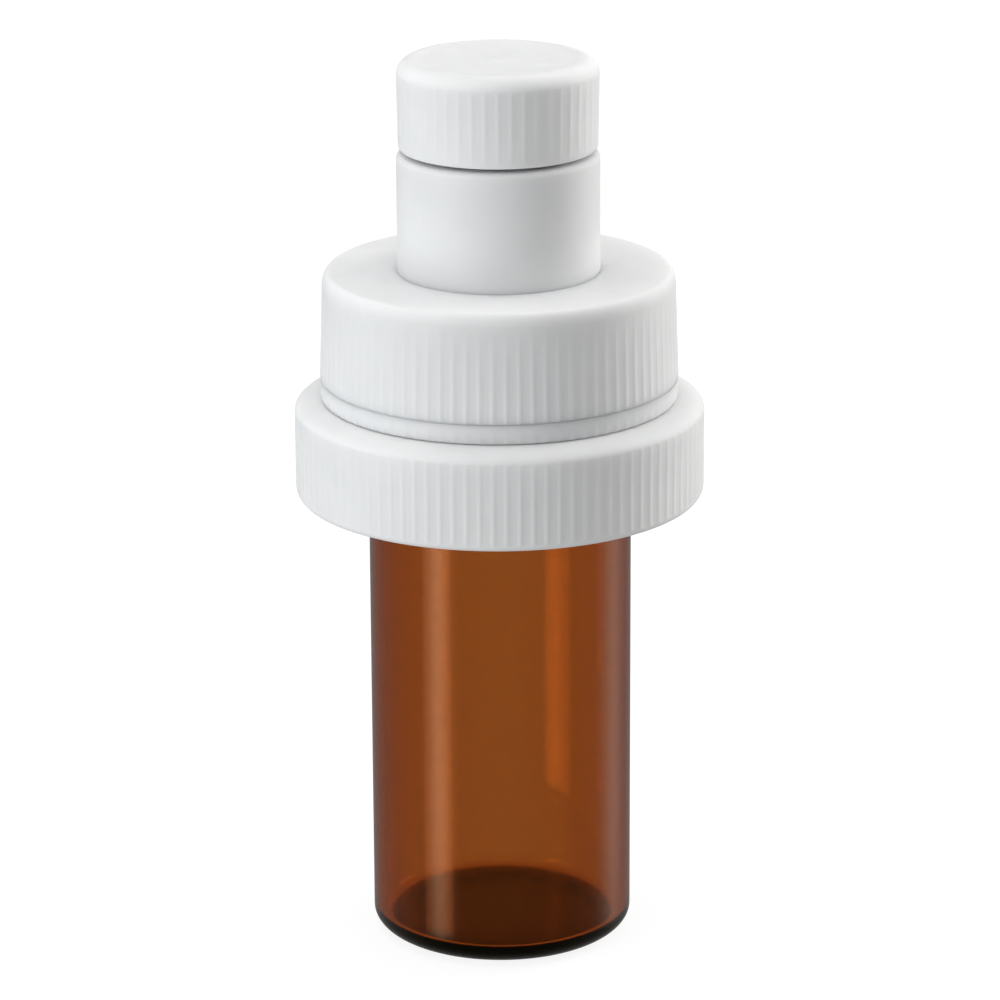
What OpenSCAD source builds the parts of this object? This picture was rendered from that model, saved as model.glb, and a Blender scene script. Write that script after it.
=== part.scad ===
// Amber glass vial with a three-tier white screw closure. Units are millimetres.
// +Z is up. The origin is the centre of the foot ring that the vial stands on.

/* [Vial] */
// Outside diameter of the glass body
vial_d = 28; // [27.6:0.1:28.2]
// Thickness of the glass wall
vial_wall = 1.3; // [1.0:0.1:1.6]
// Thickness of the glass floor
floor_t = 1.9; // [1.4:0.1:2.4]
// Width of the rounded heel
heel_w = 3; // [2.4:0.1:3.4]
// Height of the straight glass body, up to the start of the shoulder
body_h = 49.3; // [30:0.1:70]
// Height of the threaded neck above the straight body
neck_h = 11.3; // [11.1:0.1:11.9]
// Root diameter of the glass neck, under its thread
neck_d = 22; // [21.8:0.1:22.1]
// Diameter of the opening in the neck
mouth_d = 16.6; // [15:0.1:17]

/* [Collar] */
// Diameter over the ribs of the collar
collar_d = 43.5; // [42.4:0.1:46]
// Height of the ribbed skirt
skirt_h = 10.75; // [10.4:0.05:12]
// Number of ribs around the collar
collar_ribs = 98; // [70:2:110]

/* [Ring cap] */
// Diameter over the ribs at the lower edge
ring_d = 38; // [37.8:0.1:38.6]
// Height from the lower edge to the flat top
ring_h = 11.6; // [11.4:0.1:12.4]
// Number of ribs around the ring cap
ring_ribs = 86; // [60:2:96]

/* [Spout] */
// Outside diameter of the smooth spout tower
tower_d = 21.3; // [20.8:0.1:22]
// Height of the tower above the ring cap's flat top
tower_h = 12.6; // [8:0.1:20]

/* [Small cap] */
// Diameter over the ribs of the small cap
cap_d = 21.2; // [20.9:0.1:21.6]
// Height of the small cap
cap_h = 9.5; // [9.4:0.1:11]
// Number of ribs around the small cap
cap_ribs = 48; // [36:2:60]

/* [Hidden] */
$fn = 96;
glass_colour = [0.42, 0.20, 0.07, 0.75];
white_colour = [0.93, 0.94, 0.95];
seal_colour = [0.80, 0.81, 0.80];
insert_colour = [0.86, 0.89, 0.90];

// Screw threads: all three share one pitch, and the caps' ridges sit half a pitch from the necks'
pitch = 3.175;
ridge_steps = 36;
ridge_base = 1.5;
ridge_crest = 0.6;
ridge_bury = 0.25;
ridge_run_out = 40;
thread_gap = 0.3;
slack = 0.02;

// Height of the grip ribs
rib_depth = 0.16;

// Heights up the vial
foot_r = vial_d / 2 - heel_w;
heel_h = 0.7 * heel_w;
foot_ring = 0.8;
push_up = 0.6;
shoulder_r = 2;
rim_z = body_h + neck_h;
neck_thread_z = body_h + 4.7;
neck_depth = 0.95;
neck_crest_r = neck_d / 2 + neck_depth;

// Collar, from the bottom up: skirt, socket for the glass neck, web, cup for the spout
collar_z = body_h;
skirt_top = collar_z + skirt_h;
skirt_wall = 1.85;
socket_r = neck_crest_r + thread_gap;
recess_gap = 0.4;
gasket_t = 1;
web_z = rim_z + gasket_t;
web_t = 2;
upper_r = 15.3;
upper_depth = 1;
upper_crest_r = upper_r + upper_depth;
cup_r = 12.6;
collar_rim_z = skirt_top + 10.15;
bead_z = skirt_top + 1.15;
upper_thread_z = skirt_top + 3.15;

// Tamper band and ring cap
band_gap = 0.04;
band_h = 2.06;
band_r = ring_d / 2 - 0.03;
stub_h = 0.03;
ring_z = skirt_top + 2.15;
ring_top = ring_z + ring_h;
ring_plate = 1.6;
ring_wall_r = upper_crest_r + thread_gap;
tower_fit = 0.05;
hole_r = tower_d / 2 + tower_fit;

// Spout
flange_seal_t = 0.6;
flange_z = collar_rim_z + flange_seal_t;
flange_t = ring_top - ring_plate - flange_z - 0.05;
flange_r = 16.2;
spigot_r = cup_r - thread_gap;
tower_top = ring_top + tower_h;
tower_bore = tower_d / 2 - 1.4;
port_r = 8;
port_depth = 0.8;
port_crest_r = port_r + port_depth;
port_bore = 6.3;
port_rim_z = tower_top + 7.2;
port_thread_z = tower_top + 1.8;

// Small cap, its liner and the dropper insert
cap_z = tower_top + 0.5;
cap_top = cap_z + cap_h;
cap_plate = 1.3;
cap_wall_r = port_crest_r + thread_gap;
insert_flange_t = 0.6;
liner_z = port_rim_z + insert_flange_t + slack;
liner_t = cap_top - cap_plate - liner_z - slack;

function polar(r, a) = [r * cos(a), r * sin(a)];

// Points along part of an ellipse with semi-axes a and b
function bend(centre, a, b, from, to, steps = 6) =
    [for (i = [0 : steps])
        let (t = from + (to - from) * i / steps)
        centre + [a * cos(t), b * sin(t)]];

// Outline of a round body with n narrow ribs
function rib_outline(n, valley_r, crest_r) =
    [for (i = [0 : n - 1])
        let (a = 360 / n)
        each [
            polar(valley_r, (i - 0.32) * a),
            polar(crest_r, (i - 0.17) * a),
            polar(crest_r, (i + 0.17) * a),
            polar(valley_r, (i + 0.32) * a)
        ]];

// Ribs of constant section, cut to the envelope that the children draw
module ribbed(n, valley_r, crest_r, z, h) {
    intersection() {
        translate([0, 0, z]) linear_extrude(h) polygon(rib_outline(n, valley_r, crest_r));
        children();
    }
}

// A screw ridge that climbs one pitch per turn, between two angles. z_zero is its height at angle 0.
// It runs from wall_r, buried a little, to crest_r, inside or outside of the wall.
module ridge(wall_r, crest_r, z_zero, from, to) {
    steps = ceil((to - from) * ridge_steps / 360);
    outward = crest_r > wall_r;
    root_r = outward ? wall_r - ridge_bury : wall_r + ridge_bury;
    points = [for (i = [0 : steps])
        let (
            a = from + (to - from) * i / steps,
            rise = min(1, 0.1 + (a - from) / ridge_run_out, 0.1 + (to - a) / ridge_run_out),
            tip_r = wall_r + (crest_r - wall_r) * rise,
            z = z_zero + pitch * a / 360,
            inner = outward ? [root_r, ridge_base / 2] : [tip_r, ridge_crest / 2],
            outer = outward ? [tip_r, ridge_crest / 2] : [root_r, ridge_base / 2]
        )
        each [
            [each polar(inner[0], a), z - inner[1]],
            [each polar(outer[0], a), z - outer[1]],
            [each polar(outer[0], a), z + outer[1]],
            [each polar(inner[0], a), z + inner[1]]
        ]];
    sides = [for (i = [0 : steps - 1], k = [0 : 3])
        let (
            a = 4 * i + k,
            b = 4 * i + (k + 1) % 4,
            c = b + 4,
            d = a + 4
        )
        each [[a, b, c], [a, c, d]]];
    last = 4 * steps;
    polyhedron(points, concat([[3, 2, 1, 0]], sides, [[last, last + 1, last + 2, last + 3]]));
}

module washer(r_in, r_out, z, t) {
    translate([0, 0, z]) difference() {
        cylinder(h = t, r = r_out);
        translate([0, 0, -1]) cylinder(h = t + 2, r = r_in);
    }
}

module vial() {
    body_r = vial_d / 2;
    inner_r = body_r - vial_wall;
    corner_r = 0.7;
    color(glass_colour) {
        rotate_extrude() polygon(concat(
            [[0, push_up]],
            bend([0, 0], foot_r - foot_ring, push_up, 75, 0),
            bend([foot_r, heel_h], heel_w, heel_h, -90, 0, 8),
            bend([body_r - shoulder_r, body_h], shoulder_r, shoulder_r, 0, 90),
            [[neck_d / 2, body_h + shoulder_r + 0.3]],
            bend([neck_d / 2 - 0.6, rim_z - 0.6], 0.6, 0.6, 0, 90, 4),
            bend([mouth_d / 2 + 0.5, rim_z - 0.5], 0.5, 0.5, 90, 180, 4),
            [[mouth_d / 2, body_h + 2.7]],
            bend([inner_r - 1.8, body_h - 0.6], 1.8, 1.8, 45, 0, 4),
            bend([inner_r - corner_r, floor_t + corner_r], corner_r, corner_r, 0, -90),
            [[0, floor_t]]
        ));
        ridge(neck_d / 2, neck_crest_r, neck_thread_z, 0, 540);
    }
}

module neck_gasket() {
    color(seal_colour) washer(mouth_d / 2 + 0.1, socket_r - 0.8, rim_z + slack, gasket_t - 2 * slack);
}

module collar() {
    crest_r = collar_d / 2;
    edge = 1.1;
    color(white_colour) {
        difference() {
            union() {
                ribbed(collar_ribs, crest_r - rib_depth, crest_r, collar_z, skirt_h) {
                    rotate_extrude() polygon(concat(
                        [[0, collar_z]],
                        bend([crest_r - edge, collar_z + edge], edge, edge, -90, 0),
                        bend([crest_r - 3.1, skirt_top - 1.4], 3.1, 1.4, 0, 90),
                        [[0, skirt_top]]
                    ));
                }
                rotate_extrude() polygon([
                    [0, skirt_top - 1],
                    [upper_r, skirt_top - 1],
                    [upper_r, bead_z],
                    [upper_crest_r, bead_z + 0.1],
                    [upper_crest_r, bead_z + 0.4],
                    [upper_r, bead_z + 1],
                    [upper_r, collar_rim_z - 0.4],
                    [upper_r - 0.4, collar_rim_z],
                    [0, collar_rim_z]
                ]);
            }
            // annular hollow between the skirt and the socket
            rotate_extrude() polygon([
                [upper_r + 0.1, collar_z - 1],
                [crest_r - skirt_wall, collar_z - 1],
                [crest_r - skirt_wall, skirt_top - 3.1],
                [crest_r - skirt_wall - 1.2, skirt_top - 1.9],
                [upper_r + 0.1, skirt_top - 1.9]
            ]);
            // recess for the vial's shoulder, socket for its neck, bore of the web, cup for the spout
            rotate_extrude() polygon(concat(
                [[0, collar_z - 1], [vial_d / 2 + recess_gap, collar_z - 1]],
                bend([vial_d / 2 - shoulder_r, body_h], shoulder_r + recess_gap, shoulder_r + recess_gap, 0, 80),
                [
                    [socket_r, body_h + shoulder_r + recess_gap],
                    [socket_r, web_z],
                    [mouth_d / 2, web_z],
                    [mouth_d / 2, web_z + web_t],
                    [cup_r, web_z + web_t],
                    [cup_r, collar_rim_z + 1],
                    [0, collar_rim_z + 1]
                ]
            ));
        }
        ridge(upper_r, upper_crest_r, upper_thread_z, 0, 540);
        ridge(socket_r, neck_d / 2 + thread_gap, neck_thread_z - pitch / 2, 105, 645);
    }
}

module tamper_band() {
    z = skirt_top + band_gap;
    bridges = 24;
    color(white_colour) {
        rotate_extrude() polygon([
            [upper_r + 0.35, z + 0.15],
            [ring_wall_r + 0.3, z],
            [band_r - 0.15, z],
            [band_r, z + 0.15],
            [band_r, z + band_h - 0.1],
            [band_r - 0.1, z + band_h],
            [ring_wall_r + 0.3, z + band_h],
            [ring_wall_r + 0.3, z + 0.85],
            [upper_r + 0.35, z + 0.75]
        ]);
        for (i = [0 : bridges - 1])
            rotate(360 * i / bridges) translate([17.9, -0.25, z + band_h - 0.1]) cube([0.7, 0.5, 0.1 + stub_h]);
    }
}

module flange_gasket() {
    color(seal_colour) washer(spigot_r + 0.4, flange_r - 0.5, collar_rim_z + slack, flange_seal_t - 2 * slack);
}

module spout() {
    tower_r = tower_d / 2;
    color(white_colour) {
        rotate_extrude() polygon(concat(
            [
                [tower_bore + 1.5, web_z + web_t + 0.8],
                [spigot_r - 0.4, web_z + web_t + 0.8],
                [spigot_r, web_z + web_t + 1.2],
                [spigot_r, flange_z],
                [flange_r, flange_z],
                [flange_r, flange_z + flange_t],
                [tower_r, flange_z + flange_t]
            ],
            bend([tower_r - 0.7, tower_top - 0.7], 0.7, 0.7, 0, 90, 4),
            [
                [port_r, tower_top],
                [port_r, port_rim_z - 0.3],
                [port_r - 0.3, port_rim_z],
                [port_bore, port_rim_z],
                [port_bore, tower_top - 1.6],
                [tower_bore, tower_top - 1.6],
                [tower_bore, flange_z + flange_t],
                [tower_bore + 1.5, flange_z]
            ]
        ));
        ridge(port_r, port_crest_r, port_thread_z, 0, 540);
    }
}

module dropper_insert() {
    plug_r = port_bore - slack;
    drip_r = 1.7;
    drop_hole_r = 0.7;
    color(insert_colour) {
        difference() {
            rotate_extrude() polygon([
                [0, port_rim_z - 1.4],
                [plug_r - 0.9, port_rim_z - 1.4],
                [plug_r - 0.9, port_rim_z - 6],
                [plug_r - 0.4, port_rim_z - 6],
                [plug_r, port_rim_z - 5],
                [plug_r, port_rim_z],
                [port_r - 0.5, port_rim_z],
                [port_r - 0.5, port_rim_z + insert_flange_t],
                [4.6, port_rim_z + insert_flange_t],
                [4.2, port_rim_z - 0.6],
                [drip_r, port_rim_z - 0.6],
                [drip_r - 0.3, port_rim_z + insert_flange_t],
                [0, port_rim_z + insert_flange_t]
            ]);
            translate([0, 0, port_rim_z - 5]) cylinder(h = 8, r = drop_hole_r);
        }
    }
}

// Outline of the ring cap, drawn in from its ribs by inset
module ring_body(inset) {
    bottom_r = ring_d / 2 - inset;
    top_r = ring_d / 2 - 0.33;
    fillet_w = 0.8;
    fillet_h = 1.65;
    rotate_extrude() polygon(concat(
        [[0, ring_z], [bottom_r - 0.1, ring_z], [bottom_r, ring_z + 0.1]],
        bend([top_r - fillet_w, ring_top - fillet_h], fillet_w - inset, fillet_h, 0, 90),
        [[0, ring_top]]
    ));
}

module ring_cap() {
    mouth_round = 0.45;
    color(white_colour) {
        difference() {
            union() {
                ring_body(rib_depth);
                ribbed(ring_ribs, ring_d / 2 - 0.9, ring_d / 2 + 0.5, ring_z, ring_h) ring_body(0);
            }
            translate([0, 0, ring_z - 1])
                cylinder(h = ring_h - ring_plate + 1, r = ring_wall_r);
            // opening for the tower, with a rounded rim
            rotate_extrude() polygon(concat(
                [[0, ring_z], [hole_r, ring_z]],
                bend([hole_r + mouth_round, ring_top - mouth_round], mouth_round, mouth_round, 180, 90),
                [[hole_r + mouth_round, ring_top + 1], [0, ring_top + 1]]
            ));
        }
        ridge(ring_wall_r, upper_r + thread_gap, upper_thread_z - pitch / 2, 170, 620);
    }
}

module cap_liner() {
    color(seal_colour) translate([0, 0, liner_z]) cylinder(h = liner_t, r = cap_wall_r - 0.15);
}

module small_cap() {
    crest_r = cap_d / 2;
    bottom_r = crest_r - 0.12;
    fillet = 1.7;
    dish = 0.25;
    color(white_colour) {
        difference() {
            ribbed(cap_ribs, bottom_r - rib_depth, crest_r + 0.1, cap_z, cap_h) {
                rotate_extrude() polygon(concat(
                    [[0, cap_z], [bottom_r - 0.5, cap_z], [bottom_r - 0.15, cap_z + 0.25], [bottom_r, cap_z + 0.6]],
                    bend([crest_r - fillet, cap_top - fillet], fillet, fillet, 0, 90, 8),
                    [[crest_r - fillet - 1.3, cap_top - dish], [0, cap_top - dish]]
                ));
            }
            translate([0, 0, cap_z - 1]) cylinder(h = cap_h - cap_plate + 1, r = cap_wall_r);
        }
        ridge(cap_wall_r, port_r + thread_gap, port_thread_z - pitch / 2, 140, 590);
    }
}

vial();
neck_gasket();
collar();
tamper_band();
flange_gasket();
spout();
dropper_insert();
ring_cap();
cap_liner();
small_cap();
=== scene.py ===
import math

import bmesh
import bpy
import numpy as np
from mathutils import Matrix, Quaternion, Vector


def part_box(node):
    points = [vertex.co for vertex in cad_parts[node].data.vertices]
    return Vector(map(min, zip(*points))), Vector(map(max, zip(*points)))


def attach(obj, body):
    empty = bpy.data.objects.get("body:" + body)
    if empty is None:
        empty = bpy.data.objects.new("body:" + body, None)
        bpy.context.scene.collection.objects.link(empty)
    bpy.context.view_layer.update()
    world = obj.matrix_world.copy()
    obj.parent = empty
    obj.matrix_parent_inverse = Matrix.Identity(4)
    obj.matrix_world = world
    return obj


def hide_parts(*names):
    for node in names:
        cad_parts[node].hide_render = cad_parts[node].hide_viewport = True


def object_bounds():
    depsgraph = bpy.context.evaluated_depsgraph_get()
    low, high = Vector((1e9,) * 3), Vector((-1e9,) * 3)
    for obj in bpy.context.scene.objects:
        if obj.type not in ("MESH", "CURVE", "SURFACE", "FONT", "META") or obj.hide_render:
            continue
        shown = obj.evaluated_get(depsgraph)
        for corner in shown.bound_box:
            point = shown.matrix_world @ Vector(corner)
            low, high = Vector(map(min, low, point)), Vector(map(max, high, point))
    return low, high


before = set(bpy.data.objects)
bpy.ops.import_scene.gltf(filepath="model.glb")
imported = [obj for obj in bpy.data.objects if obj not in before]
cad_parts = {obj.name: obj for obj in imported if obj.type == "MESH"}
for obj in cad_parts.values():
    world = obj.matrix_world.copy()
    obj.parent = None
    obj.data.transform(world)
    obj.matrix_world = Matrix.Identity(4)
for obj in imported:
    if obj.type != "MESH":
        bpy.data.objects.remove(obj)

CAD_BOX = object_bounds()
MM = 0.001

# ---------------------------------------------------------------- sizes
# Outer sizes come from the CAD boxes. The rest are the walls, edges and threads, in metres.
# All three threads have the same pitch, width of ridge at its foot and crest, and gap to the other wall
PITCH = 3.175 * MM
RIDGE_BASE = 1.5 * MM
RIDGE_CREST = 0.6 * MM
GAP = 0.3 * MM
# Degrees over which a ridge runs out at each end, and where the ridges on the three necks start and end
RUN_OUT = 40
RIDGE_SPAN = (0, 540)
# The collar's skirt and the threaded wall above it
SKIRT_H = 10.75 * MM
UPPER_R = 15.3 * MM
# The ring cap's plate and bore
RING_PLATE = 1.6 * MM
RING_BORE_R = 16.6 * MM
# The spout's threaded neck
PORT_H = 7.2 * MM
PORT_R = 8.0 * MM
# Where each neck's ridge starts, above the glass body, the collar's skirt and the tower
NECK_RIDGE_Z = 4.7 * MM
UPPER_RIDGE_Z = 3.15 * MM
PORT_RIDGE_Z = 1.8 * MM
NECK_RIDGE_DEPTH = 0.95 * MM
UPPER_RIDGE_DEPTH = 1 * MM
PORT_RIDGE_DEPTH = 0.8 * MM
# Columns round a smooth piece, and the angle from which an edge is shaded as sharp
COLUMNS = 256
SHARP = math.radians(38)


def size(node):
    """Outer radius, lowest and highest z of a round CAD node."""
    low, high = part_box(node)
    return high[0], low[2], high[2]


# ---------------------------------------------------------------- profiles and lathe
def bend(centre, a, b, start, end, steps=8):
    """Points along part of an ellipse with semi-axes a and b, in degrees."""
    angles = [math.radians(start + (end - start) * i / steps) for i in range(steps + 1)]
    return [(centre[0] + a * math.cos(t), centre[1] + b * math.sin(t)) for t in angles]


def rise(r, z_from, z_to, step=0.2 * MM):
    """A straight vertical run of profile points, close enough together to carry a thread."""
    count = max(1, round(abs(z_to - z_from) / step))
    return [(r, z_from + (z_to - z_from) * i / count) for i in range(count + 1)]


def slant(r_from, r_to, z_from, z_to, steps):
    """A straight slanting run of profile points, which stops one step short of its end."""
    shares = [i / steps for i in range(steps)]
    return [(r_from + (r_to - r_from) * t, z_from + (z_to - z_from) * t) for t in shares]


def mark(kind, points):
    """Profile points with the name of the relief that they carry."""
    return [(r, z, kind) for r, z in points]


def even_columns(count):
    """Angles of evenly spaced columns."""
    return np.radians(np.arange(count) * 360 / count)


# Where the columns of one rib lie, as a share of the rib spacing, and how high the rib is there
RIB_PHASES = (-0.31, -0.23, -0.15, -0.07, 0.0, 0.07, 0.15, 0.23, 0.31, 0.5)
RIB_HEIGHTS = (0.0, 0.12, 0.5, 0.88, 1.0, 0.88, 0.5, 0.12, 0.0, 0.0)
COLLAR_RIBS, RING_RIBS, CAP_RIBS = 98, 86, 48
RIB_DEPTH = 0.085 * MM
# The valleys reach full depth this far down, and have this share of it at the top
RIB_RISE = 3 * MM
RIB_LEAST = 0.45


def rib_columns(ribs):
    """Angles of the columns of a ribbed piece, and the height of its ribs at each, from 0 to 1."""
    angles = [(i + phase) * 360 / ribs for i in range(ribs) for phase in RIB_PHASES]
    return np.radians(angles), np.array(RIB_HEIGHTS * ribs)


def rib_depth(z, top):
    """Depth of the valleys between ribs, which grow shallower towards the top of the piece."""
    return RIB_DEPTH * min(1, max(RIB_LEAST, (top - z) / RIB_RISE))


def rib_relief(heights, valley_at):
    """The outline dips to the valley radius between ribs, wherever it stands proud of it."""
    def relief(r, z):
        valley = valley_at(z)
        return np.full(len(heights), r) if valley >= r else valley + (r - valley) * heights
    return relief


def thread_relief(angles, depth, z_zero, start, end):
    """A screw ridge from start to end, in degrees, that climbs one pitch per turn.

    A negative depth points it inwards.
    """
    def relief(r, z):
        height = np.zeros(len(angles))
        for turn in range(-1, 3):
            a = np.degrees(angles) + 360 * turn
            off = np.abs(z - z_zero - PITCH * a / 360)
            flank = np.clip((RIDGE_BASE / 2 - off) / ((RIDGE_BASE - RIDGE_CREST) / 2), 0, 1)
            ends = np.clip(np.minimum(a - start, end - a) / RUN_OUT, 0, 1)
            height = np.maximum(height, flank * ends)
        return r + depth * height * height * (3 - 2 * height)
    return relief


def lathe(name, profile, angles, reliefs=None):
    """Turns a profile about Z. One that starts and ends on the axis is capped, any other is a loop."""
    reliefs = reliefs or {}
    on_axis = profile[0][0] == 0
    rings = profile[1:-1] if on_axis else profile
    count = len(angles)
    verts = []
    for r, z, kind in rings:
        radii = reliefs[kind](r, z) if kind in reliefs else np.full(count, r)
        xs, ys = radii * np.cos(angles), radii * np.sin(angles)
        verts += list(zip(xs.tolist(), ys.tolist(), [z] * count))
    faces = []
    around = [(j, (j + 1) % count) for j in range(count)]
    pairs = list(range(len(rings) - 1)) + ([] if on_axis else [len(rings) - 1])
    for i in pairs:
        here, there = i * count, (i + 1) % len(rings) * count
        faces += [(here + j, here + k, there + k, there + j) for j, k in around]
    if on_axis:
        for centre, ring in ((profile[0], 0), (profile[-1], (len(rings) - 1) * count)):
            verts.append((0, 0, centre[1]))
            faces += [(len(verts) - 1, ring + j, ring + k) for j, k in around]
    return build(name, verts, faces)


def build(name, verts, faces):
    """A smooth-shaded object from points and faces, with its normals made to face out."""
    mesh = bpy.data.meshes.new(name)
    mesh.from_pydata(verts, [], faces)
    work = bmesh.new()
    work.from_mesh(mesh)
    bmesh.ops.recalc_face_normals(work, faces=work.faces)
    work.to_mesh(mesh)
    work.free()
    mesh.shade_smooth()
    mesh.set_sharp_from_angle(angle=SHARP)
    piece = bpy.data.objects.new(name, mesh)
    bpy.context.scene.collection.objects.link(piece)
    even = piece.modifiers.new("even_normals", "WEIGHTED_NORMAL")
    even.keep_sharp = True
    return piece


def place(piece, node, body, material):
    """Puts a piece in the place of a CAD node, on a body, with its material."""
    piece.data.materials.append(material)
    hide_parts(node)
    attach(piece, body)


# ---------------------------------------------------------------- materials
class Nodes:
    """A short way to add shader nodes and link them."""

    def __init__(self, name):
        self.material = bpy.data.materials.new(name)
        self.material.use_nodes = True
        self.tree = self.material.node_tree
        self.shader = self.tree.nodes["Principled BSDF"]
        self.output = self.tree.nodes["Material Output"]
        self.coords = self.add("ShaderNodeTexCoord").outputs["Object"]

    def add(self, kind, **values):
        """Adds a node, with values for its inputs or for its own settings."""
        node = self.tree.nodes.new(kind)
        for key, value in values.items():
            if key in node.inputs:
                node.inputs[key].default_value = value
            else:
                setattr(node, key, value)
        return node

    def link(self, source, target):
        self.tree.links.new(source, target)

    def noise(self, scale, detail=3.0, rough=0.5, stretch=(1, 1, 1)):
        """Noise from 0 to 1 with features about 1 / scale across."""
        mapping = self.add("ShaderNodeMapping")
        mapping.inputs["Scale"].default_value = stretch
        self.link(self.coords, mapping.inputs["Vector"])
        node = self.add("ShaderNodeTexNoise", Scale=scale, Detail=detail, Roughness=rough)
        self.link(mapping.outputs["Vector"], node.inputs["Vector"])
        return node.outputs["Fac"]

    def span(self, source, low, high, start=0.35, end=0.65):
        """The source's values between start and end, stretched to low and high."""
        node = self.add("ShaderNodeMapRange", interpolation_type="SMOOTHSTEP")
        for key, value in (("From Min", start), ("From Max", end), ("To Min", low), ("To Max", high)):
            node.inputs[key].default_value = value
        self.link(source, node.inputs["Value"])
        return node.outputs["Result"]

    def blend(self, factor, first, second):
        """Mixes two colours, each given as a tuple or by a socket."""
        node = self.add("ShaderNodeMix", data_type="RGBA")
        self.link(factor, node.inputs["Factor"])
        for key, value in (("A", first), ("B", second)):
            socket = [s for s in node.inputs if s.name == key and s.type == "RGBA"][0]
            if isinstance(value, tuple):
                socket.default_value = (*value, 1)
            else:
                self.link(value, socket)
        return [s for s in node.outputs if s.type == "RGBA"][0]

    def choose(self, factor, first, second):
        """The first shader where the factor is 0, and the second where it is 1."""
        node = self.add("ShaderNodeMixShader")
        for source, target in zip((factor, first, second), node.inputs):
            self.link(source, target)
        return node.outputs[0]

    def bump(self, height, distance, strength=1.0, after=None):
        """A normal that follows the height, on top of another normal if there is one."""
        node = self.add("ShaderNodeBump", Strength=strength, Distance=distance)
        self.link(height, node.inputs["Height"])
        if after is not None:
            self.link(after, node.inputs["Normal"])
        return node.outputs["Normal"]

    def set(self, **values):
        """Sets plain numbers on the shader."""
        for key, value in values.items():
            self.shader.inputs[key.replace("_", " ")].default_value = value


# Colours of dull, clean and scuffed white plastic
WHITE_TONES = ((0.828, 0.832, 0.834), (0.85, 0.854, 0.856), (0.872, 0.875, 0.876))


def white_plastic(name, depth, painted_light_lift=0.0):
    """Satin moulded polypropylene: nearly even white, soft sheen, fine moulded grain and faint scuffs.

    Light goes in to about the depth, and the painted light lift makes all its tones lighter, giving a
    lit copy of the same plastic.
    """
    n = Nodes(name)
    n.set(IOR=1.49, Subsurface_Weight=0.9, Subsurface_Scale=depth)
    n.shader.inputs["Subsurface Radius"].default_value = (1.0, 0.96, 0.9)
    dull, clean, scuffed = (tuple(c + painted_light_lift for c in tone) for tone in WHITE_TONES)
    cloud = n.span(n.noise(120, 3), 0, 1)
    tint = n.blend(cloud, dull, clean)
    scuffs = n.span(n.noise(900, 2, 0.6, (1, 1, 0.12)), 0, 1, 0.66, 0.78)
    tint = n.blend(scuffs, tint, scuffed)
    n.link(tint, n.shader.inputs["Base Color"])
    rough = n.span(n.noise(500, 3), 0.42, 0.54)
    n.link(rough, n.shader.inputs["Roughness"])
    grain = n.bump(n.noise(9000, 2), 0.004 * MM, 0.6)
    waves = n.bump(n.noise(450, 2), 0.012 * MM, 0.5, grain)
    n.link(waves, n.shader.inputs["Normal"])
    return n.material


def amber_glass():
    """Clear amber glass: the colour comes from its thickness, the surface has faint smudges."""
    n = Nodes("amber_glass")
    n.set(IOR=1.52, Transmission_Weight=1.0)
    n.shader.inputs["Base Color"].default_value = (1, 1, 1, 1)
    n.shader.inputs["Specular Tint"].default_value = (1, 0.84, 0.52, 1)
    smudge = n.span(n.noise(140, 4, 0.6, (1, 1, 0.5)), 0.0, 0.03, 0.5, 0.75)
    n.link(smudge, n.shader.inputs["Roughness"])
    waves = n.bump(n.noise(70, 2, 0.4, (1, 1, 0.25)), 0.02 * MM, 0.5)
    n.link(waves, n.shader.inputs["Normal"])
    tint = n.add("ShaderNodeVolumeAbsorption")
    tint.inputs["Color"].default_value = (0.748, 0.488, 0.14, 1)
    tint.inputs["Density"].default_value = 2000
    n.link(tint.outputs["Volume"], n.output.inputs["Volume"])
    return n.material


def foam():
    """Matt polyethylene foam of the seals, with fine closed cells."""
    n = Nodes("seal_foam")
    cells = n.add("ShaderNodeTexVoronoi", Scale=3500)
    n.link(n.coords, cells.inputs["Vector"])
    spots = n.span(cells.outputs["Distance"], 0, 1, 0.1, 0.7)
    n.link(n.blend(spots, (0.74, 0.75, 0.73), (0.83, 0.84, 0.82)), n.shader.inputs["Base Color"])
    n.link(n.span(n.noise(800), 0.6, 0.75), n.shader.inputs["Roughness"])
    n.link(n.bump(spots, 0.02 * MM, 0.5), n.shader.inputs["Normal"])
    return n.material


def natural_plastic():
    """Milky low-density polyethylene of the dropper insert."""
    n = Nodes("natural_polyethylene")
    n.set(IOR=1.51, Subsurface_Weight=0.4, Subsurface_Scale=1.2 * MM)
    n.shader.inputs["Subsurface Radius"].default_value = (1.0, 1.0, 1.0)
    cloud = n.span(n.noise(300), 0, 1)
    n.link(n.blend(cloud, (0.78, 0.81, 0.82), (0.84, 0.87, 0.88)), n.shader.inputs["Base Color"])
    n.link(n.span(n.noise(700), 0.28, 0.4), n.shader.inputs["Roughness"])
    n.link(n.bump(n.noise(5000), 0.004 * MM, 0.5), n.shader.inputs["Normal"])
    return n.material


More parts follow.
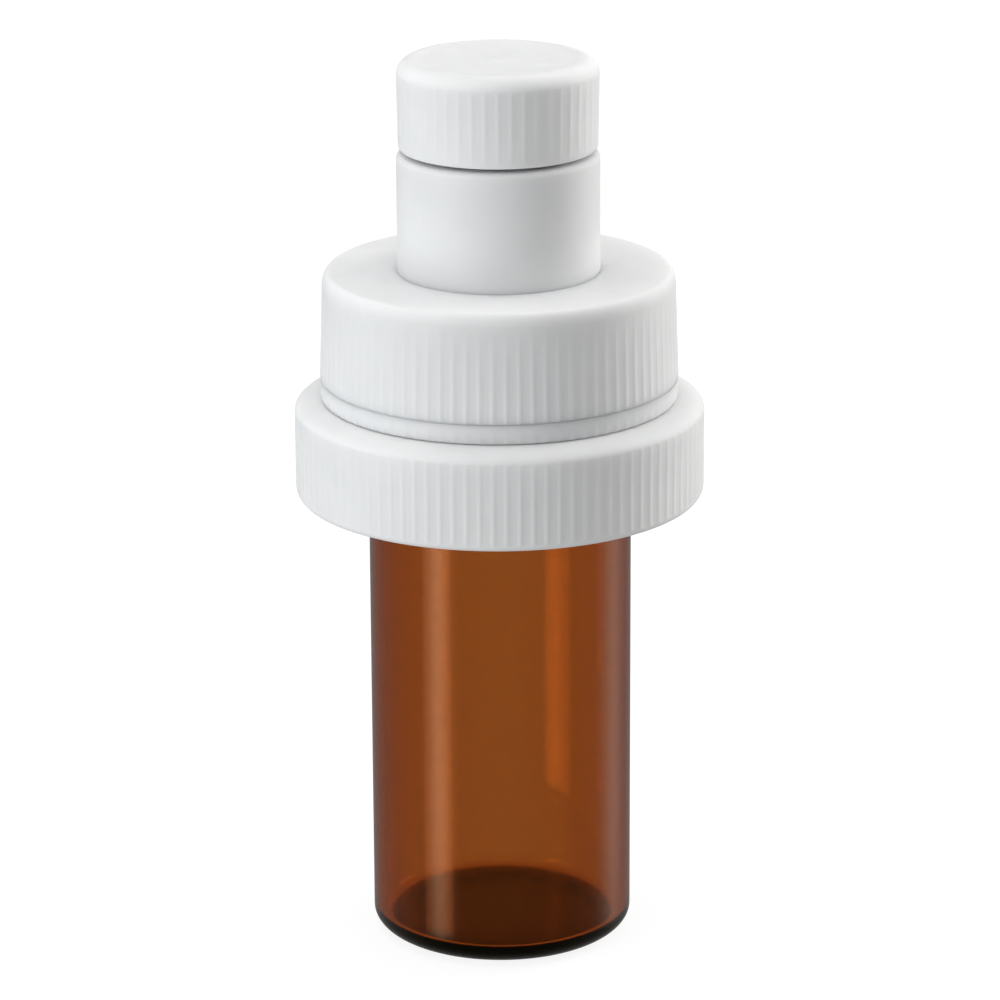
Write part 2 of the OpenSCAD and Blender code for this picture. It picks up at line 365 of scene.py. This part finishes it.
# ---------------------------------------------------------------- pieces
def make_vial(material):
    """The glass: push-up foot, rounded heel, straight body, shoulder and threaded neck."""
    body_r, foot_z, rim_z = size("vial")
    body_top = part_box("collar")[0][2]
    wall, floor_t, shoulder = 1.3 * MM, 1.9 * MM, 2.0 * MM
    heel_w, heel_h = 3.0 * MM, 2.1 * MM
    neck_r, mouth_r = 11.0 * MM, 8.3 * MM
    push_up, foot_ring = 0.6 * MM, 0.8 * MM
    corner, crown, inner_shoulder = 0.7 * MM, 0.25 * MM, 1.8 * MM
    rim_round, lip_round = 0.6 * MM, 0.5 * MM
    neck_z = body_top + shoulder
    inner_r = body_r - wall
    foot_r = body_r - heel_w
    floor_z = foot_z + floor_t
    angles = even_columns(COLUMNS)
    outside = (
        [(0, foot_z + push_up)]
        + bend((0, foot_z), foot_r - foot_ring, push_up, 80, 0, 8)
        + bend((foot_r, foot_z + heel_h), heel_w, heel_h, -90, 0, 16)
        + rise(body_r, foot_z + heel_h + 1 * MM, body_top - 1 * MM, 4 * MM)
        + bend((body_r - shoulder, body_top), shoulder, shoulder, 0, 90, 10)
        + [(neck_r + 0.25 * MM, neck_z + 0.2 * MM)]
    )
    neck = rise(neck_r, neck_z + 0.45 * MM, rim_z - rim_round - 0.1 * MM)
    rim = bend((neck_r - rim_round, rim_z - rim_round), rim_round, rim_round, 0, 90, 6)
    inside = (
        bend((mouth_r + lip_round, rim_z - lip_round), lip_round, lip_round, 90, 180, 6)
        + [(mouth_r, body_top + 3.2 * MM), (mouth_r + 0.25 * MM, body_top + 2.6 * MM)]
        + bend((inner_r - inner_shoulder, body_top - 0.6 * MM), inner_shoulder, inner_shoulder, 55, 0, 8)
        + rise(inner_r, body_top - 2 * MM, floor_z + corner + 1 * MM, 4 * MM)
        + bend((inner_r - corner, floor_z + corner), corner, corner, 0, -90, 10)
        + bend((0, floor_z), inner_r - corner - 0.4 * MM, crown, 12, 78, 8)
        + [(0, floor_z + crown)]
    )
    profile = mark("plain", outside) + mark("thread", neck) + mark("plain", rim + inside)
    thread = thread_relief(angles, NECK_RIDGE_DEPTH, body_top + NECK_RIDGE_Z, *RIDGE_SPAN)
    piece = lathe("glass_vial", profile, angles, {"thread": thread})
    place(piece, "vial", "vial", material)


def collar_outside(crest_r, low, top, rim_z, shoulder_h):
    """Up the ribbed skirt, over its shoulder and the bead, to the rim of the threaded wall."""
    edge, shoulder_w, foot_round = 1.1 * MM, 3.1 * MM, 0.3 * MM
    bead_r, bead_z = UPPER_R + UPPER_RIDGE_DEPTH, top + 1.15 * MM
    skirt = (
        bend((crest_r - edge, low + edge), edge, edge, -90, 0, 10)
        + rise(crest_r, low + 2 * MM, top - 2 * MM, 2 * MM)
        + bend((crest_r - shoulder_w, top - shoulder_h), shoulder_w, shoulder_h, 0, 90, 14)
    )
    step = (
        bend((UPPER_R + foot_round, top + foot_round), foot_round, foot_round, 270, 180, 4)
        + [
            (UPPER_R, bead_z),
            (bead_r, bead_z + 0.1 * MM),
            (bead_r, bead_z + 0.4 * MM),
            (UPPER_R, bead_z + 1 * MM),
        ]
    )
    wall = rise(UPPER_R, bead_z + 1.2 * MM, rim_z - 0.6 * MM, 0.25 * MM)
    return mark("rib", skirt) + mark("plain", step) + mark("outer", wall)


def collar_inside(crest_r, low, top, rim_z):
    """Down the cup for the spout and the socket for the glass neck, and round under the hollow skirt."""
    skirt_in, cup_r, mouth_r, socket_r = crest_r - 1.85 * MM, 12.6 * MM, 8.3 * MM, 12.25 * MM
    rim_round, cup_round, recess = 0.4 * MM, 0.3 * MM, 2.4 * MM
    glass_r, _, glass_rim_z = size("vial")
    web_z = glass_rim_z + 1 * MM
    web_top = web_z + 2 * MM
    cup = (
        bend((UPPER_R - rim_round, rim_z - rim_round), rim_round, rim_round, 0, 90, 4)
        + bend((cup_r + cup_round, rim_z - cup_round), cup_round, cup_round, 90, 180, 4)
        + [
            (cup_r, web_top + 0.3 * MM),
            (cup_r - 0.3 * MM, web_top),
            (mouth_r + 0.2 * MM, web_top),
            (mouth_r, web_top - 0.2 * MM),
            (mouth_r, web_z),
            (socket_r, web_z),
        ]
    )
    socket = rise(socket_r, web_z - 0.2 * MM, low + recess + 0.1 * MM, 0.25 * MM)
    under = (
        bend((glass_r - 2 * MM, low), recess, recess, 78, 0, 8)
        + [
            (glass_r + 0.6 * MM, low),
            (UPPER_R - 0.1 * MM, low),
            (UPPER_R + 0.1 * MM, low + 0.2 * MM),
            (UPPER_R + 0.1 * MM, top - 2.2 * MM),
            (UPPER_R + 0.5 * MM, top - 1.9 * MM),
            (skirt_in - 1.2 * MM, top - 1.9 * MM),
            (skirt_in, top - 3.1 * MM),
            (skirt_in, low + 0.3 * MM),
            (skirt_in + 0.1 * MM, low + 0.05 * MM),
        ]
    )
    return mark("plain", cup) + mark("inner", socket) + mark("plain", under)


def make_collar(material):
    """The hollow ribbed skirt, the threaded wall above it, and the socket for the glass neck."""
    crest_r, low, rim_z = size("collar")
    top = low + SKIRT_H
    shoulder_h = 1.4 * MM
    inner_span = (105, 645)
    angles, heights = rib_columns(COLLAR_RIBS)

    def valley_at(z):
        return crest_r - rib_depth(z, top - shoulder_h)

    outside = collar_outside(crest_r, low, top, rim_z, shoulder_h)
    inside = collar_inside(crest_r, low, top, rim_z)
    reliefs = {
        "rib": rib_relief(heights, valley_at),
        "outer": thread_relief(angles, UPPER_RIDGE_DEPTH, top + UPPER_RIDGE_Z, *RIDGE_SPAN),
        "inner": thread_relief(angles, -NECK_RIDGE_DEPTH, low + NECK_RIDGE_Z - PITCH / 2, *inner_span),
    }
    piece = lathe("collar_shell", outside + inside, angles, reliefs)
    place(piece, "collar", "collar", material)


def make_band(material):
    """The smooth ring under the ring cap, with small nibs round its lower edge."""
    band_r, low, top = size("tamper_band")
    low -= 0.03 * MM
    face_r = band_r - 0.02 * MM
    lip_r, wall_r = 15.65 * MM, 16.9 * MM
    bridge_out, bridge_in = 17.95 * MM, 17.2 * MM
    nib_depth = 0.07 * MM
    angles, heights = rib_columns(RING_RIBS)

    def nib(r, z):
        return r - nib_depth * (1 - heights)

    profile = (
        mark("plain", [
            (lip_r, low + 0.15 * MM),
            (wall_r, low),
            (band_r - 0.4 * MM, low),
        ])
        + mark("nib", [
            (band_r - 0.1 * MM, low + 0.08 * MM),
            (band_r, low + 0.25 * MM),
            (band_r, low + 0.65 * MM),
        ])
        + mark("plain", [
            (face_r, low + 0.95 * MM),
            (face_r, top - 0.03 * MM),
            (band_r - 0.05 * MM, top),
            (bridge_out, top),
            (bridge_in, top),
            (wall_r, top),
            (wall_r, low + 0.85 * MM),
            (lip_r, low + 0.75 * MM),
        ])
    )
    piece = lathe("tamper_ring", profile, angles, {"nib": nib})
    place(piece, "tamper_band", "collar", material)


def ring_outside(crest_r, top_r, low, top):
    """From the lower edge up the ribbed side, over the shoulder and down through the opening."""
    hole_r, mouth = 10.7 * MM, 0.06 * MM
    flat_r, flat_sag = 15.0 * MM, 0.01 * MM
    edge, edge_round = low - 0.03 * MM, 0.03 * MM
    shoulder_w, shoulder_h = 0.8 * MM, 1.65 * MM
    side_top, steps = top - shoulder_h, 8
    plate_z = top - RING_PLATE
    foot = (
        [(RING_BORE_R, low + 0.2 * MM), (RING_BORE_R + 0.2 * MM, low), (crest_r - 0.5 * MM, edge)]
        + bend((crest_r - 0.13 * MM, edge + edge_round), edge_round, edge_round, -90, 0, 4)
    )
    side = (
        slant(crest_r, top_r, low + 0.3 * MM, side_top, steps)
        + bend((top_r - shoulder_w, side_top), shoulder_w, shoulder_h, 0, 90, 14)
    )
    plate = (
        [(flat_r, top - flat_sag)]
        + bend((hole_r + mouth, top - mouth), mouth, mouth, 90, 180, 8)
        + [
            (hole_r, plate_z),
            (RING_BORE_R - 0.3 * MM, plate_z),
            (RING_BORE_R, plate_z - 0.3 * MM),
        ]
    )
    return mark("plain", foot) + mark("rib", side) + mark("plain", plate)


def make_ring(material):
    """The ribbed cap with an open top that holds the spout's flange down."""
    crest_r, low, top = size("ring_cap")
    top_r = crest_r - 0.33 * MM
    inner_span = (170, 620)
    angles, heights = rib_columns(RING_RIBS)

    def valley_at(z):
        share = (z - low) / (top - low)
        return crest_r - rib_depth(z, top - 1 * MM) - share * (crest_r - top_r)

    bore = rise(RING_BORE_R, top - RING_PLATE - 0.6 * MM, low + 0.4 * MM, 0.25 * MM)
    profile = ring_outside(crest_r, top_r, low, top) + mark("inner", bore)
    ridge_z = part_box("collar")[0][2] + SKIRT_H + UPPER_RIDGE_Z - PITCH / 2
    reliefs = {
        "rib": rib_relief(heights, valley_at),
        "inner": thread_relief(angles, -(RING_BORE_R - UPPER_R - GAP), ridge_z, *inner_span),
    }
    piece = lathe("ring_shell", profile, angles, reliefs)
    place(piece, "ring_cap", "ring_cap", material)


def make_spout(material):
    """The flange, the smooth tower and the threaded neck under the small cap."""
    flange_r, low, rim_z = size("spout")
    tower_r = 10.685 * MM
    ring_top = size("ring_cap")[2]
    tower_top = rim_z - PORT_H
    flange_top = ring_top - RING_PLATE - 0.05 * MM
    flange_low = flange_top - 1.35 * MM
    spigot_r, bore_r, port_bore = 12.3 * MM, 9.3 * MM, 6.3 * MM
    cone = 1.5 * MM
    tower_round, rim_round = 0.7 * MM, 0.3 * MM
    bore_top = tower_top - 1.6 * MM
    angles = even_columns(COLUMNS)
    flange = [
        (bore_r + cone, low),
        (spigot_r - 0.4 * MM, low),
        (spigot_r, low + 0.4 * MM),
        (spigot_r, flange_low),
        (flange_r - 0.1 * MM, flange_low),
        (flange_r, flange_low + 0.1 * MM),
        (flange_r, flange_top - 0.1 * MM),
        (flange_r - 0.1 * MM, flange_top),
    ]
    tower = (
        [(tower_r, flange_top)]
        + rise(tower_r, flange_top + 2 * MM, tower_top - 1.2 * MM, 2 * MM)
        + bend((tower_r - tower_round, tower_top - tower_round), tower_round, tower_round, 0, 90, 10)
        + [(PORT_R + 0.3 * MM, tower_top)]
    )
    port = rise(PORT_R, tower_top + 0.3 * MM, rim_z - 0.4 * MM)
    inside = (
        bend((PORT_R - rim_round, rim_z - rim_round), rim_round, rim_round, 0, 90, 4)
        + [
            (port_bore + 0.1 * MM, rim_z),
            (port_bore, rim_z - 0.1 * MM),
            (port_bore, bore_top),
            (bore_r, bore_top),
            (bore_r, flange_top),
            (bore_r + cone, flange_low),
        ]
    )
    profile = mark("plain", flange + tower) + mark("thread", port) + mark("plain", inside)
    thread = thread_relief(angles, PORT_RIDGE_DEPTH, tower_top + PORT_RIDGE_Z, *RIDGE_SPAN)
    piece = lathe("spout_tower", profile, angles, {"thread": thread})
    place(piece, "spout", "spout", material)


def make_insert(material):
    """The press-in plug with a drip hole in the spout's neck."""
    flange_r, low, high = size("dropper_insert")
    columns, rim_z = 96, high - 0.6 * MM
    plug_r, drip_r, hole_r = 6.28 * MM, 1.7 * MM, 0.7 * MM
    bore_r = plug_r - 0.9 * MM
    lip_r, dish_r = 4.9 * MM, 4.2 * MM
    web_low, web_top = rim_z - 1.4 * MM, rim_z - 0.6 * MM
    angles = even_columns(columns)
    profile = mark("plain", (
        [
            (hole_r, web_low),
            (bore_r, web_low),
            (bore_r, low),
            (plug_r - 0.4 * MM, low),
            (plug_r, low + 1 * MM),
            (plug_r, rim_z),
            (flange_r - 0.15 * MM, rim_z),
        ]
        + bend((flange_r - 0.15 * MM, rim_z + 0.3 * MM), 0.15 * MM, 0.3 * MM, -90, 90, 8)
        + bend((lip_r, high - 0.3 * MM), 0.3 * MM, 0.3 * MM, 90, 165, 4)
        + [(dish_r, web_top), (drip_r, web_top)]
        + bend((drip_r - 0.5 * MM, high - 0.2 * MM), 0.2 * MM, 0.2 * MM, 0, 90, 4)
        + [(hole_r, high - 0.2 * MM)]
    ))
    piece = lathe("drip_plug", profile, angles)
    place(piece, "dropper_insert", "spout", material)


def cap_side(bottom_r, crest_r, low, top, fillet):
    """Up the ribbed side of the small cap and round its shoulder."""
    side_top, steps = top - fillet, 6
    return (
        [(bottom_r - 0.15 * MM, low + 0.08 * MM), (bottom_r - 0.03 * MM, low + 0.25 * MM)]
        + slant(bottom_r, crest_r, low + 0.6 * MM, side_top, steps)
        + bend((crest_r - fillet, side_top), fillet, fillet, 0, 90, 16)
    )


def cap_top(rim_r, top):
    """From the shoulder into the dish of the small cap, and over the gate mark in its middle."""
    dish, dish_w, steps = 0.12 * MM, 1.3 * MM, 10
    dish_z, gate_r = top - dish, 0.8 * MM
    slope = [
        (rim_r - dish_w * i / steps, top - dish * (1 - math.cos(math.pi * i / steps)) / 2)
        for i in range(1, steps + 1)
    ]
    return slope + [
        (5.0 * MM, dish_z - 0.03 * MM),
        (2.5 * MM, dish_z - 0.05 * MM),
        (gate_r + 0.2 * MM, dish_z - 0.05 * MM),
        (gate_r, dish_z),
        (0, dish_z + 0.02 * MM),
    ]


def make_cap(material):
    """The small ribbed cap with its slightly dished top."""
    crest_r, low, top = size("small_cap")
    bottom_r, wall_r, fillet = crest_r - 0.12 * MM, 9.1 * MM, 1.7 * MM
    plate_z = top - 1.3 * MM
    rib_share, rib_end, rib_end_h = 0.55, low + 0.4 * MM, 0.6 * MM
    inner_span = (140, 590)
    angles, heights = rib_columns(CAP_RIBS)

    def valley_at(z):
        depth = rib_share * rib_depth(z, top - 1 * MM) * min(1, max(0, (z - rib_end) / rib_end_h))
        return bottom_r - depth + (crest_r - bottom_r) * (z - low) / (top - low)

    ceiling = [(0, plate_z), (wall_r - 0.3 * MM, plate_z), (wall_r, plate_z - 0.3 * MM)]
    bore = rise(wall_r, plate_z - 0.5 * MM, low + 0.4 * MM)
    foot = [(wall_r, low + 0.2 * MM), (wall_r + 0.2 * MM, low), (bottom_r - 0.5 * MM, low)]
    inside = mark("plain", ceiling) + mark("inner", bore) + mark("plain", foot)
    side = mark("rib", cap_side(bottom_r, crest_r, low, top, fillet))
    profile = inside + side + mark("plain", cap_top(crest_r - fillet, top))
    ridge_z = size("spout")[2] - PORT_H + PORT_RIDGE_Z - PITCH / 2
    reliefs = {
        "rib": rib_relief(heights, valley_at),
        "inner": thread_relief(angles, -(wall_r - PORT_R - GAP), ridge_z, *inner_span),
    }
    piece = lathe("cap_shell", profile, angles, reliefs)
    place(piece, "small_cap", "small_cap", material)


# ---------------------------------------------------------------- studio
# Brightness of the even grey that gives the ambient light
AMBIENT = 0.42
# The room in reflections and through glass. A ray points backwards by -1 to 1, and between the first two
# of these values the brightness goes from the third to the fourth
ROOM = (-0.9, 1.0, 0.07, 0.25)
ROOM_THROUGH_GLASS = (-0.35, 0.1, 0.15, 1.0)
# Soft upright light strips: azimuth from the camera's side in degrees, sharpness of the fall-off
# to both sides, and brightness in reflections and through glass
STRIPS = (
    (-57.5, 65, 1.75, 8.0),
    (116, 26, 0.65, 0.0),
)
# A ray points upwards by -1 to 1, and between these two values the strips fade in
STRIP_FOOT = (-0.43, -0.36)
# The painted shadow under the foot, a dimly glowing disc in place of its contact shadow, fades out
# between these radii. Its brightness is that seen through glass
PAINTED_SHADOW_RADII = (11.4 * MM, 12.6 * MM)
PAINTED_SHADOW_TONE = 0.15
# Soft boxes: name, azimuth from the camera's side and elevation in degrees, width and height in metres,
# power in watts, and colour
BOXES = (
    ("left_box", -62, -8, 0.3, 0.5, 2.1, (0.945, 0.98, 1.0)),
    ("top_box", -80, 84, 0.4, 0.4, 1.9, (1, 1, 1)),
    ("right_box", 118, 10, 0.3, 0.5, 2.75, (1.0, 0.985, 0.965)),
)
BOX_DISTANCE = 0.6


def area_light(name, azimuth, elevation, width, height, power, colour, target_z):
    """A soft box that faces the object and shows neither to the camera nor in reflections."""
    lamp = bpy.data.lights.new(name, "AREA")
    lamp.shape = "RECTANGLE"
    lamp.size, lamp.size_y = width, height
    lamp.energy = power
    lamp.color = colour
    holder = bpy.data.objects.new(name, lamp)
    bpy.context.scene.collection.objects.link(holder)
    a, e = math.radians(azimuth), math.radians(elevation)
    centre = Vector((0, 0, target_z))
    outward = Vector((math.sin(a) * math.cos(e), -math.cos(a) * math.cos(e), math.sin(e)))
    holder.location = centre + BOX_DISTANCE * outward
    holder.rotation_euler = (centre - holder.location).to_track_quat("-Z", "Y").to_euler()
    holder.visible_glossy = False
    holder.visible_camera = False


class World:
    """A short way to add and link the world's nodes."""

    def __init__(self, name):
        self.world = bpy.data.worlds.new(name)
        self.world.use_nodes = True
        self.world.cycles.sampling_method = "NONE"
        self.tree = self.world.node_tree

    def put(self, source, target):
        """Links another node's socket to the target, or sets a number on it."""
        if isinstance(source, bpy.types.NodeSocket):
            self.tree.links.new(source, target)
        else:
            target.default_value = source

    def maths(self, operation, first, second):
        """The result of an operation on two sockets or numbers."""
        node = self.tree.nodes.new("ShaderNodeMath")
        node.operation = operation
        self.put(first, node.inputs[0])
        self.put(second, node.inputs[1])
        return node.outputs[0]

    def ramp(self, source, start, end, low, high):
        """A smooth change from low to high while the source goes from start to end."""
        node = self.tree.nodes.new("ShaderNodeMapRange")
        node.interpolation_type = "SMOOTHSTEP"
        self.put(source, node.inputs["Value"])
        for key, value in (("From Min", start), ("From Max", end), ("To Min", low), ("To Max", high)):
            node.inputs[key].default_value = value
        return node.outputs["Result"]

    def mix(self, factor, first, second):
        """The first value where the factor is 0, and the second where it is 1."""
        node = self.tree.nodes.new("ShaderNodeMix")
        node.data_type = "FLOAT"
        for key, value in (("Factor", factor), ("A", first), ("B", second)):
            self.put(value, node.inputs[key])
        return node.outputs["Result"]


def make_world():
    """White to the camera, an even grey as ambient light, and a room with light strips for the rest."""
    w = World("studio")
    bpy.context.scene.world = w.world
    nodes = w.tree.nodes
    split = nodes.new("ShaderNodeSeparateXYZ")
    w.put(nodes.new("ShaderNodeTexCoord").outputs["Generated"], split.inputs[0])
    x, y, z = split.outputs
    across = w.maths("SQRT", w.maths("ADD", w.maths("MULTIPLY", x, x), w.maths("MULTIPLY", y, y)), 0)
    reflected = w.ramp(y, *ROOM)
    through = w.ramp(y, *ROOM_THROUGH_GLASS)
    for azimuth, sharpness, in_reflection, in_glass in STRIPS:
        # How far the level part of a ray points towards the strip, from 0 to 1
        a = math.radians(azimuth)
        along_x = w.maths("MULTIPLY", x, math.sin(a))
        along_y = w.maths("MULTIPLY", y, math.cos(a))
        towards = w.maths("SUBTRACT", along_x, along_y)
        share = w.maths("MAXIMUM", w.maths("DIVIDE", towards, across), 0)
        strip = w.maths("POWER", share, sharpness)
        strip = w.maths("MULTIPLY", strip, w.ramp(z, *STRIP_FOOT, 0, 1))
        reflected = w.maths("ADD", reflected, w.maths("MULTIPLY", strip, in_reflection))
        through = w.maths("ADD", through, w.maths("MULTIPLY", strip, in_glass))
    path = nodes.new("ShaderNodeLightPath").outputs
    tone = w.mix(path["Is Transmission Ray"], reflected, through)
    tone = w.mix(path["Is Diffuse Ray"], tone, AMBIENT)
    tone = w.mix(path["Is Camera Ray"], tone, 1.0)
    w.put(tone, nodes["Background"].inputs["Strength"])
    nodes["Background"].inputs["Color"].default_value = (1, 1, 1, 1)


def floor_white():
    """Glowing white, clear from below. Through glass only the painted shadow under the foot shows, a
    dimly glowing disc in place of its contact shadow.
    """
    tone, glow = 0.2, 0.88
    n = Nodes("floor_white")
    n.set(Roughness=0.9, Emission_Strength=glow)
    n.shader.inputs["Base Color"].default_value = (tone, tone, tone, 1)
    n.shader.inputs["Emission Color"].default_value = (1, 1, 1, 1)
    spread = n.add("ShaderNodeVectorMath", operation="LENGTH")
    n.link(n.coords, spread.inputs[0])
    outside = n.span(spread.outputs["Value"], 0, 1, *PAINTED_SHADOW_RADII)
    # Painted shadow: a dim glowing disc under the foot, seen only through glass, stands in for the
    # foot's contact shadow
    shade = n.add("ShaderNodeEmission", Strength=PAINTED_SHADOW_TONE).outputs[0]
    clear = n.add("ShaderNodeBsdfTransparent").outputs[0]
    through = n.choose(outside, shade, clear)
    in_glass = n.add("ShaderNodeLightPath").outputs["Is Transmission Ray"]
    above = n.choose(in_glass, n.shader.outputs[0], through)
    from_below = n.add("ShaderNodeNewGeometry").outputs["Backfacing"]
    n.link(n.choose(from_below, above, clear), n.output.inputs["Surface"])
    return n.material


def make_floor():
    """A wide round floor under the foot, which diffuse, glossy and shadow rays pass by."""
    count, radius = 96, 3.0
    verts = [(radius * math.cos(a), radius * math.sin(a), 0) for a in even_columns(count)]
    floor = build("floor", verts, [tuple(range(count))])
    floor.modifiers.clear()
    if floor.data.polygons[0].normal.z < 0:
        floor.data.flip_normals()
    floor.data.materials.append(floor_white())
    floor.visible_diffuse = False
    floor.visible_glossy = False
    floor.visible_shadow = False


def make_camera(aim_z):
    """The camera looks down at the middle of the object from half a metre away."""
    distance, elevation, roll = 0.504, math.radians(17.68), math.radians(-0.3)
    data = bpy.data.cameras.new("camera")
    data.sensor_width = 36
    data.lens = 169.7
    camera = bpy.data.objects.new("camera", data)
    bpy.context.scene.collection.objects.link(camera)
    camera.location = (0, -distance * math.cos(elevation), aim_z + distance * math.sin(elevation))
    aim = Vector((0, 0, aim_z)) - camera.location
    camera.rotation_euler = (aim.to_track_quat("-Z", "Y") @ Quaternion((0, 0, 1), roll)).to_euler()
    bpy.context.scene.camera = camera


# ---------------------------------------------------------------- assembly
middle_z = CAD_BOX[1][2] / 2
make_camera(middle_z)
make_world()
make_floor()
for box in BOXES:
    area_light(*box, middle_z)

white = white_plastic("white_polypropylene", depth=1.4 * MM)
make_vial(amber_glass())
make_collar(white)
make_band(white)
make_ring(white)
make_spout(white)
make_insert(natural_plastic())
# Painted light: the small cap takes a lighter copy of the same white plastic, standing in for the
# brighter light on its ribs
make_cap(white_plastic("white_polypropylene_painted_lighter", depth=0.9 * MM, painted_light_lift=0.03))
seal = foam()
for node in ("neck_gasket", "flange_gasket", "cap_liner"):
    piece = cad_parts[node]
    piece.data.materials.clear()
    piece.data.materials.append(seal)

view = bpy.context.scene.view_settings
view.view_transform = "Standard"
view.look = "None"
